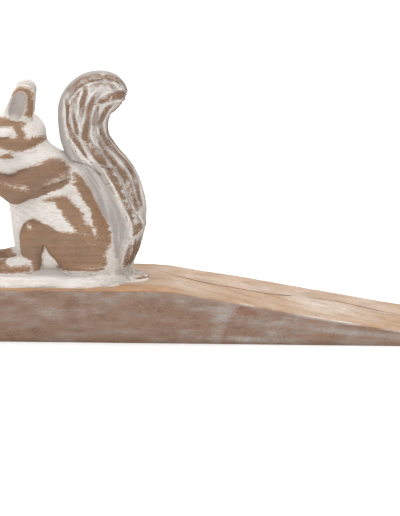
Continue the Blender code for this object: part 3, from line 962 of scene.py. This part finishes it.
def wedge_growth(p):
    """The growth-ring field in mm: rings round a pith that lies below the sole, bent round the knots."""
    x, y, z = p.T
    r = np.hypot(y - 9.0, 0.75 * (z + 26.0) - 0.035 * x)
    r += 1.6 * rough_noise(p, (90, 18, 18), 71) + 0.25 * noise(p, (16, 4, 4), 74)
    for place, size, push in KNOTS:
        near = ((x - place[0]) / 1.6) ** 2 + (y - place[1]) ** 2 + (z - place[2]) ** 2
        r += push * np.exp(-near / size**2)
    return r


# Marks on the wedge's near side, as x, z, half width: a dark arc round a knot, a reddish patch, white
# mottling in two places and a pale streak.
KNOT_ARC = [(19.0, 20.0, 0.3), (15.5, 15.6, 0.7), (12.2, 9.5, 0.7), (10.8, 3.6, 0.6), (11.4, 0.4, 0.4)]
RED_PATCH = [(17.5, 18.2, 1.4), (26.0, 15.6, 1.6)]
MOTTLING = [(13.5, 21.0, 4.0), (9.5, 13.0, 3.4), (7.0, 4.5, 2.8)]
LOW_PATCH = [(13.5, 3.6, 0.8), (23.0, 2.4, 0.8)]
PALE_STREAK = [(24.0, 12.8, 0.8), (60.0, 9.0, 1.1), (98.0, 4.9, 1.1), (116.0, 2.6, 0.8)]

# Marks on its top, as x, y, half width: a washed patch, a haze of wash, a bare rub beside the near edge,
# and a painted shadow line along the mound's edge.
TOP_PATCH = [(44.0, 3.0, 3.0), (60.0, -3.0, 6.0), (80.0, -8.0, 6.0)]
TOP_HAZE = [(-8.0, 9.0, 2.5), (14.0, 9.0, 3.5), (30.0, 6.0, 2.0)]
TOP_RUB = [(-58.0, -20.8, 0.8), (-46.0, -18.6, 2.6), (-32.0, -17.0, 3.2), (-18.0, -18.0, 1.4)]
MOUND_SHADOW = [(-51.5, -17.2, 0.2), (-48.0, -14.6, 0.5), (-44.5, -12.6, 0.2)]


def wash_side(p, side, near):
    """How much more wash than the rest the wedge's sides hold."""
    x, _, z = p.T
    q = drifted(p, 1.3, 91)
    wash = side * (0.05 + 0.30 * rough_noise(p, (10, 5, 4), 88, 4))
    wash += 0.25 * soft_step(stroke(q, MOTTLING), 3.0, -2.5) * near
    wash += 0.21 * soft_step(stroke(q, PALE_STREAK), 1.8, -1.0) * near
    wash += 0.30 * soft_step(stroke(q, LOW_PATCH), 1.8, -1.0) * near
    crown = soft_step(x, -48.0, -20.0) * (1.0 - soft_step(x, 10.0, 22.0))
    return wash + 0.26 * soft_step(top_height(x) - z, 7.0, 1.0) * near * crown


def stain_side(p, near):
    """The dark arc and the reddish patch on the near side."""
    arc = soft_step(stroke(drifted(p, 0.5, 93), KNOT_ARC), 0.9, -0.4)
    return (arc + 0.8 * soft_step(stroke(drifted(p, 1.3, 91), RED_PATCH), 1.8, -1.2)) * near


def paint_wedge(p, normals):
    """The wash, its greyness, the dirt and painted shade, the bare edges, the dark sides and the stains at
    each vertex; the sides are darker and greyer partly in their own colour and partly as painted shade.
    """
    x, y, z = p.T
    up = soft_step(normals[:, 2], 0.3, 0.8)
    side = soft_step(np.abs(normals[:, 1]), 0.5, 0.85)
    near = soft_step(-y, 10.0, 20.0) * side
    wash = 0.26 + 0.14 * rough_noise(p, (30, 3.2, 2.4), 81) + 0.26 * rough_noise(p, (22, 14, 6), 85)
    wash += wash_side(p, side, near)

    # On the top, wash is left in a patch and a haze.
    flat = drifted(p, 1.6, 95)[:, [0, 2, 1]]
    wash += 0.12 * up * soft_step(stroke(flat, TOP_PATCH), 6.0, -4.0)
    wash += 0.18 * up * soft_step(stroke(flat, TOP_HAZE), 3.5, -2.5)

    # Wash is caught round the squirrel's mound, and runs out to a ragged end behind the tail.
    drawn = drifted(p - FIGURE_PLACE, 0.9, 101)
    spill = soft_step(stroke(drawn[:, [0, 2, 1]], MOUND_PLAN), 0.9, -0.6) * up
    wash += (0.97 - wash) * spill

    # The long top edges and a patch beside the near one are rubbed through to warm bare wood.
    edge = soft_step(np.abs(y), HALF_WIDTH - 3.2, HALF_WIDTH - 1.4)
    edge *= soft_step(normals[:, 2], 0.25, 0.6)
    edge *= 1.0 - 0.8 * soft_step(x, -34.0, 0.0)
    edge *= 1.0 - 0.6 * soft_step(y, 0.0, 10.0)
    rub = soft_step(stroke(flat, TOP_RUB), 1.5, -1.5) * up * (1.0 - spill)
    edge = np.maximum(edge, 0.8 * rub)
    wash -= 0.42 * edge * (1.0 - 0.6 * spill)

    # A broken white line on the rims of the ramp is a painted highlight, and the sole has the least wash.
    rim = soft_step(np.abs(y), HALF_WIDTH - 2.2, HALF_WIDTH - 0.6) * soft_step(normals[:, 2], 0.1, 0.4)
    wash += 0.45 * rim * soft_step(x, -20.0, 4.0) * soft_step(rough_noise(p, (9, 9, 9), 107), -0.4, 0.3)
    wash -= 0.25 * soft_step(-normals[:, 2], 0.4, 0.8)

    # The sides are darkened towards the bottom as painted shade, and dirt is scattered at random.
    dirt_and_shade = 0.6 * soft_step(z, 3.0, 0.3) * side + 0.25 * np.clip(rough_noise(p, (20, 5, 5), 111), 0, 1)
    # A thin painted shadow along the mound's edge.
    dirt_and_shade += 0.8 * soft_step(stroke(flat, MOUND_SHADOW), 0.6, -0.3) * up
    return {
        "paint": wash,
        # The sides are greyer here and darker in wood, partly their own colour and partly painted shade.
        "grey": 0.25 + 0.65 * side,
        "dirt_and_shade": np.clip(dirt_and_shade, 0, 1),
        "edge": edge,
        "dark": side,
        "stain": stain_side(p, near),
    }


def place_check(p, normals):
    """Each vertex's distance across the grain to the long check, and the check's half width there."""
    x, y, _ = p.T
    line_y = np.interp(x, CHECK[:, 0], CHECK[:, 1]) + 0.25 * noise(p * (1, 0, 0), 5.0, 121)
    half = 1.5 * np.interp(x, CHECK[:, 0], CHECK[:, 2], left=0, right=0)
    return y - line_y, half * soft_step(normals[:, 2], 0.6, 0.9)


def plane_by_hand(p, normals, check, opening):
    """The smooth skin's points moved in and out as tools, wear and the check leave them."""
    x, y, z = p.T
    carve = 0.30 * noise(p, (55, 17, 12), 131) + 0.12 * noise(p, (16, 6, 6), 134)
    carve += 0.05 * noise(p, (9, 1.3, 1.3), 137)
    carve -= 0.45 * (opening > 0.02) * np.exp(-((check / 0.5) ** 2)) * np.clip(opening / 0.3, 0, 1)

    # The long edges are worn and chipped.
    worn = soft_step(np.abs(y), HALF_WIDTH - 2.5, HALF_WIDTH - 0.5) * soft_step(normals[:, 2], 0.1, 0.4)
    carve -= 0.45 * worn * np.clip(rough_noise(p, (7, 6, 6), 141), 0, 1)

    # The sole and the ends stay flat.
    carve *= soft_step(z, 0.3, 2.6) * (1.0 - soft_step(np.abs(normals[:, 0]), 0.9, 1.0))
    moved = p + carve[:, None] * normals
    moved[:, 2] += top_swell(x, y) * soft_step(z / top_height(x), 0.2, 1.0)
    return moved


def make_wedge():
    """The hand-planed wedge, with its worn edges, its check and its wash."""
    grid = wedge_grid()
    rows, columns = grid.shape[:2]
    normals = grid_normals(grid).reshape(-1, 3)
    p = grid.reshape(-1, 3)
    check, opening = place_check(p, normals)
    moved = plane_by_hand(p, normals, check, opening)
    ends = np.array([moved[:columns].mean(axis=0), moved[-columns:].mean(axis=0)])
    values = paint_wedge(p, normals)
    values.update(growth=wedge_growth(p), check=check, opening=opening)
    values = {key: np.append(numbers, numbers[[0, -1]]) for key, numbers in values.items()}
    return mesh_object("planed_wedge", np.vstack([moved, ends]), grid_faces(rows, columns), values)


# ---------------------------------------------------------------- materials


class Tree:
    """A short way to build one material's nodes."""

    def __init__(self, name):
        self.material = bpy.data.materials.new(name)
        self.material.use_nodes = True
        self.nodes = self.material.node_tree.nodes
        self.links = self.material.node_tree.links
        self.shader = self.nodes["Principled BSDF"]

    def add(self, kind, inputs, output=0, **settings):
        """Adds a node and returns one of its outputs. inputs holds a value or an output for each socket."""
        made = self.nodes.new(kind)
        for key, value in settings.items():
            setattr(made, key, value)
        for key, value in inputs.items():
            self.put(made.inputs[key], value)
        return made.outputs[output]

    def put(self, socket, value):
        """Links an output to a socket, or sets the socket's own value."""
        if isinstance(value, bpy.types.NodeSocket):
            self.links.new(value, socket)
        else:
            socket.default_value = value

    def value(self, name):
        """A number stored on the mesh's vertices."""
        return self.add("ShaderNodeAttribute", {}, "Fac", attribute_name=name)

    def math(self, operation, a, b=0.0):
        """One sum on two numbers."""
        return self.add("ShaderNodeMath", {0: a, 1: b}, operation=operation)

    def product(self, a, b):
        """Two numbers multiplied."""
        return self.math("MULTIPLY", a, b)

    def total(self, *terms):
        """The sum of numbers, each given with its weight."""
        weighted = [self.product(term, weight) for term, weight in terms]
        whole = weighted[0]
        for term in weighted[1:]:
            whole = self.math("ADD", whole, term)
        return whole

    def centred(self, value):
        """A value from 0 to 1, moved to lie about 0."""
        return self.math("SUBTRACT", value, 0.5)

    def noise(self, vector, scale, detail=4.0, roughness=0.55):
        """Noise from 0 to 1. scale is lumps a millimetre."""
        inputs = {"Vector": vector, "Scale": scale, "Detail": detail, "Roughness": roughness}
        return self.add("ShaderNodeTexNoise", inputs, "Fac")

    def step(self, value, start, end, low=0.0, high=1.0):
        """low before start, high after end, and smooth between them."""
        inputs = {"Value": value, "From Min": start, "From Max": end, "To Min": low, "To Max": high}
        return self.add("ShaderNodeMapRange", inputs, "Result", interpolation_type="SMOOTHSTEP")

    def mix(self, factor, a, b):
        """Mixes two colours."""
        made = self.nodes.new("ShaderNodeMix")
        made.data_type = "RGBA"
        self.put(made.inputs[0], factor)
        self.put(made.inputs[6], a)
        self.put(made.inputs[7], b)
        return made.outputs[2]

    def stretch(self, vector, factors):
        """A place scaled by a factor along each axis, which spreads noise out where the factor is small."""
        return self.add("ShaderNodeVectorMath", {0: vector, 1: factors}, operation="MULTIPLY")

    def finish(self, base, roughness, relief, strength, distance, shine=0.5):
        """Sets the shader's colour, roughness, relief (its distance is in metres) and shine."""
        bump = self.add("ShaderNodeBump", {"Height": relief, "Strength": strength, "Distance": distance})
        self.put(self.shader.inputs["Base Color"], base)
        self.put(self.shader.inputs["Roughness"], roughness)
        self.put(self.shader.inputs["Specular IOR Level"], shine)
        self.put(self.shader.inputs["Normal"], bump)
        return self.material


def colour(red, green, blue):
    """A colour from screen values between 11 and 255, as the linear values that a shader takes."""
    return (*(((c / 255 + 0.055) / 1.055) ** 2.4 for c in (red, green, blue)), 1.0)


WHITE_PAINT, GREY_PAINT, THIN_PAINT = colour(228, 223, 217), colour(163, 158, 154), colour(190, 177, 165)
# The colours that dirt and painted shade darken bare wood and paint towards.
DIRT_AND_SHADE_ON_WOOD, DIRT_AND_SHADE_ON_PAINT = colour(90, 68, 54), colour(136, 120, 110)
PORE, SPLIT, STAIN = colour(84, 62, 48), colour(96, 72, 56), colour(132, 90, 66)
# The wedge's darker sides, partly the wood's own colour and partly painted shade.
SIDE_LIGHT, SIDE_DARK = colour(144, 111, 93), colour(106, 81, 67)
THIN_WOOD, DULL_WOOD = colour(178, 138, 102), colour(118, 94, 78)
BARE_EDGE, BARE_EDGE_DARK = colour(190, 148, 110), colour(156, 112, 76)


def washed_wood(name, light, dark, warm, ring_pitch, ring_strength, wash_width, raggedness, is_wedge):
    """Wood with its grain along X, under white wash that is thin or gone where the paint value is low."""
    t = Tree(name)
    mm = t.stretch(t.add("ShaderNodeTexCoord", {}, "Object"), (1000.0, 1000.0, 1000.0))
    grain = t.stretch(mm, (0.09, 1.0, 1.0))
    fibre = t.noise(grain, 1.5, 5.0, 0.62)
    coarse = t.noise(grain, 0.42, 3.0, 0.5)
    blotch = t.noise(mm, 0.11, 4.0, 0.6)
    speck = t.noise(t.stretch(mm, (0.55, 1.0, 1.0)), 1.3, 3.0, 0.65)
    pores = t.step(t.noise(t.stretch(mm, (0.16, 1.0, 1.0)), 3.4, 2.0, 0.5), 0.60, 0.70)

    # Growth rings: a slow rise in tone and a thin dark line at the end of each year.
    growth = t.total((t.value("growth"), 1.0), (coarse, 0.9))
    year = t.math("FRACT", t.math("DIVIDE", growth, ring_pitch))
    late = t.product(t.step(year, 0.45, 0.93), t.step(year, 0.99, 0.94))
    rings = (late, 0.7 * ring_strength)
    tone = t.total((t.step(fibre, 0.3, 0.72), 0.45), rings, (t.step(speck, 0.35, 0.7), 0.2))
    wood = t.mix(tone, light, dark)
    wood = t.mix(t.step(blotch, 0.44, 0.68, 0.0, 0.7), wood, t.mix(t.step(fibre, 0.3, 0.7), warm, dark))
    wood = t.mix(t.product(pores, 0.35), wood, PORE)
    # On the wedge's sides the wood is darker, partly its own colour and partly painted shade.
    if is_wedge:
        deep = t.product(t.value("dark"), t.step(blotch, 0.25, 0.7, 0.95, 0.7))
        wood = t.mix(deep, wood, t.mix(t.step(speck, 0.3, 0.7), SIDE_LIGHT, SIDE_DARK))
        wood = t.mix(t.product(t.value("stain"), 0.9), wood, STAIN)

    # The wash lies thinner on the raised fibres, in brush streaks and in specks.
    ragged = t.total((t.centred(fibre), 1.0), (t.centred(blotch), 0.45), (t.centred(speck), 1.1))
    level = t.total((t.value("paint"), 1.0), (ragged, raggedness))
    cover = t.step(level, 0.5 - wash_width, 0.5 + wash_width)
    if not is_wedge:
        wood = t.mix(t.step(level, -0.1, 0.5, 0.0, 0.55), wood, THIN_WOOD)
        wood = t.mix(t.product(t.value("dark"), 0.6), wood, DULL_WOOD)
    brush = t.noise(t.stretch(mm, (0.12, 0.8, 0.8)), 1.1, 3.0, 0.6)
    wash = t.mix(t.value("grey"), WHITE_PAINT, GREY_PAINT)
    wash = t.mix(t.step(brush, 0.4, 0.75, 0.0, 0.3), wash, THIN_PAINT)
    film = t.product(cover, t.step(brush, 0.8, 0.4, 0.80, 0.97))
    if is_wedge:
        dots = t.product(t.step(t.noise(mm, 1.4, 2.0, 0.5), 0.56, 0.64), t.value("dark"))
        film = t.product(film, t.math("SUBTRACT", 1.0, t.product(dots, 0.55)))
    base = t.mix(film, wood, wash)

    # Dirt and painted shade darken wood and wash alike.
    dirt_and_shade_mix = t.product(t.value("dirt_and_shade"), t.step(blotch, 0.25, 0.7, 0.35, 0.75))
    base = t.mix(dirt_and_shade_mix, base, t.mix(film, DIRT_AND_SHADE_ON_WOOD, DIRT_AND_SHADE_ON_PAINT))
    if is_wedge:
        base = open_check(t, base, fibre)
        bare = t.product(t.value("edge"), t.step(blotch, 0.3, 0.6, 0.3, 0.85))
        base = t.mix(bare, base, t.mix(t.step(fibre, 0.3, 0.7), BARE_EDGE, BARE_EDGE_DARK))
    relief = t.total((fibre, 0.5), (cover, 0.3), (speck, 0.3), (pores, -0.35))
    return t.finish(base, t.step(film, 0.0, 1.0, 0.62, 0.84), relief, 0.6, 0.00014, 0.3)


def open_check(t, base, fibre):
    """The base colour with the long check's dark line drawn in."""
    wide = t.value("opening")
    off = t.math("ABSOLUTE", t.total((t.value("check"), 1.0), (t.centred(fibre), 0.35)))
    split = t.product(t.math("LESS_THAN", off, wide), t.math("GREATER_THAN", wide, 0.03))
    return t.mix(t.product(split, 0.8), base, SPLIT)


def dowel_wood():
    """Bare turned hardwood, with its grain up the pin."""
    t = Tree("beech_dowel")
    mm = t.stretch(t.add("ShaderNodeTexCoord", {}, "Object"), (1000.0, 1000.0, 1000.0))
    fibre = t.noise(t.stretch(mm, (1.0, 1.0, 0.08)), 2.2, 4.0, 0.6)
    flecks = t.step(t.noise(t.stretch(mm, (1.0, 1.0, 0.3)), 4.0, 2.0), 0.62, 0.72)
    base = t.mix(t.step(fibre, 0.3, 0.7), colour(222, 188, 146), colour(196, 156, 112))
    base = t.mix(t.product(flecks, 0.5), base, colour(150, 108, 72))
    return t.finish(base, t.step(fibre, 0.2, 0.8, 0.5, 0.7), fibre, 0.4, 0.0001)


# ---------------------------------------------------------------- stage, light and camera

CAMERA_PLACE = Vector((0.0275, -0.8813, 0.3108))
CAMERA_AZIMUTH, CAMERA_ELEVATION = 1.9, 17.2
CAMERA_LENS = 128.34
SENSOR_WIDTH = 36.0

# Name, place in metres, diameter in metres and power in watts.
STUDIO_LIGHTS = [
    ("overhead", (0.0, 0.2, 2.6), 3.6, 92.0),
    ("front_left", (-1.0, -1.6, 1.3), 1.2, 10.0),
]
LIGHT_TARGET = Vector((0.0, 0.0, 0.05))
WORLD_STRENGTH = 0.46
FLOOR_SIZE = 12.0
FLOOR_WHITE = 0.97


def make_floor():
    """A plain pale floor."""
    bpy.ops.mesh.primitive_plane_add(size=FLOOR_SIZE, location=(0, 0, 0))
    floor = bpy.context.object
    floor.name = "floor"
    t = Tree("pale_floor")
    t.shader.inputs["Base Color"].default_value = (FLOOR_WHITE, FLOOR_WHITE, FLOOR_WHITE, 1.0)
    t.shader.inputs["Roughness"].default_value = 0.9
    t.shader.inputs["Specular IOR Level"].default_value = 0.1
    floor.data.materials.append(t.material)


def make_lights():
    """Soft light from above and a little from the front, in a pale room."""
    world = bpy.data.worlds.new("studio")
    bpy.context.scene.world = world
    world.use_nodes = True
    background = world.node_tree.nodes["Background"]
    background.inputs["Color"].default_value = (1.0, 1.0, 1.0, 1.0)
    background.inputs["Strength"].default_value = WORLD_STRENGTH
    for name, place, size, watts in STUDIO_LIGHTS:
        light = bpy.data.lights.new(name, "AREA")
        light.shape = "DISK"
        light.size = size
        light.energy = watts
        lamp = bpy.data.objects.new(name, light)
        lamp.location = place
        lamp.rotation_euler = (LIGHT_TARGET - Vector(place)).to_track_quat("-Z", "Y").to_euler()
        bpy.context.collection.objects.link(lamp)


def make_camera():
    """The camera, at the photograph's viewing angle."""
    data = bpy.data.cameras.new("camera")
    data.lens = CAMERA_LENS
    data.sensor_width = SENSOR_WIDTH
    data.clip_end = 50.0
    camera = bpy.data.objects.new("camera", data)
    camera.location = CAMERA_PLACE
    camera.rotation_euler = (math.radians(90 - CAMERA_ELEVATION), 0, math.radians(CAMERA_AZIMUTH))
    bpy.context.collection.objects.link(camera)
    bpy.context.scene.camera = camera


def place_piece(piece, wood, node):
    """Gives a piece its wood, hides the CAD part it stands in for, and hangs the piece under the root body.
    """
    piece.data.materials.append(wood)
    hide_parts(node)
    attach(piece, "root")


def main():
    """Builds the whole scene."""
    bpy.context.scene.view_settings.view_transform = "Standard"
    make_camera()
    make_lights()
    make_floor()

    figure_wood = washed_wood(
        "rubbed_white_paint",
        light=colour(152, 124, 102),
        dark=colour(104, 80, 65),
        warm=colour(162, 118, 81),
        ring_pitch=3.1,
        ring_strength=0.3,
        wash_width=0.26,
        raggedness=1.0,
        is_wedge=False,
    )
    place_piece(make_squirrel(), figure_wood, "squirrel_figure")

    wedge_wood = washed_wood(
        "washed_tan_wood",
        light=colour(186, 158, 131),
        dark=colour(142, 111, 86),
        warm=colour(178, 136, 99),
        ring_pitch=4.4,
        ring_strength=0.4,
        wash_width=0.42,
        raggedness=0.7,
        is_wedge=True,
    )
    place_piece(make_wedge(), wedge_wood, "wedge_body")

    pin_wood = dowel_wood()
    for name in ("front_dowel", "rear_dowel"):
        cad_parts[name].material_slots[0].material = pin_wood


main()
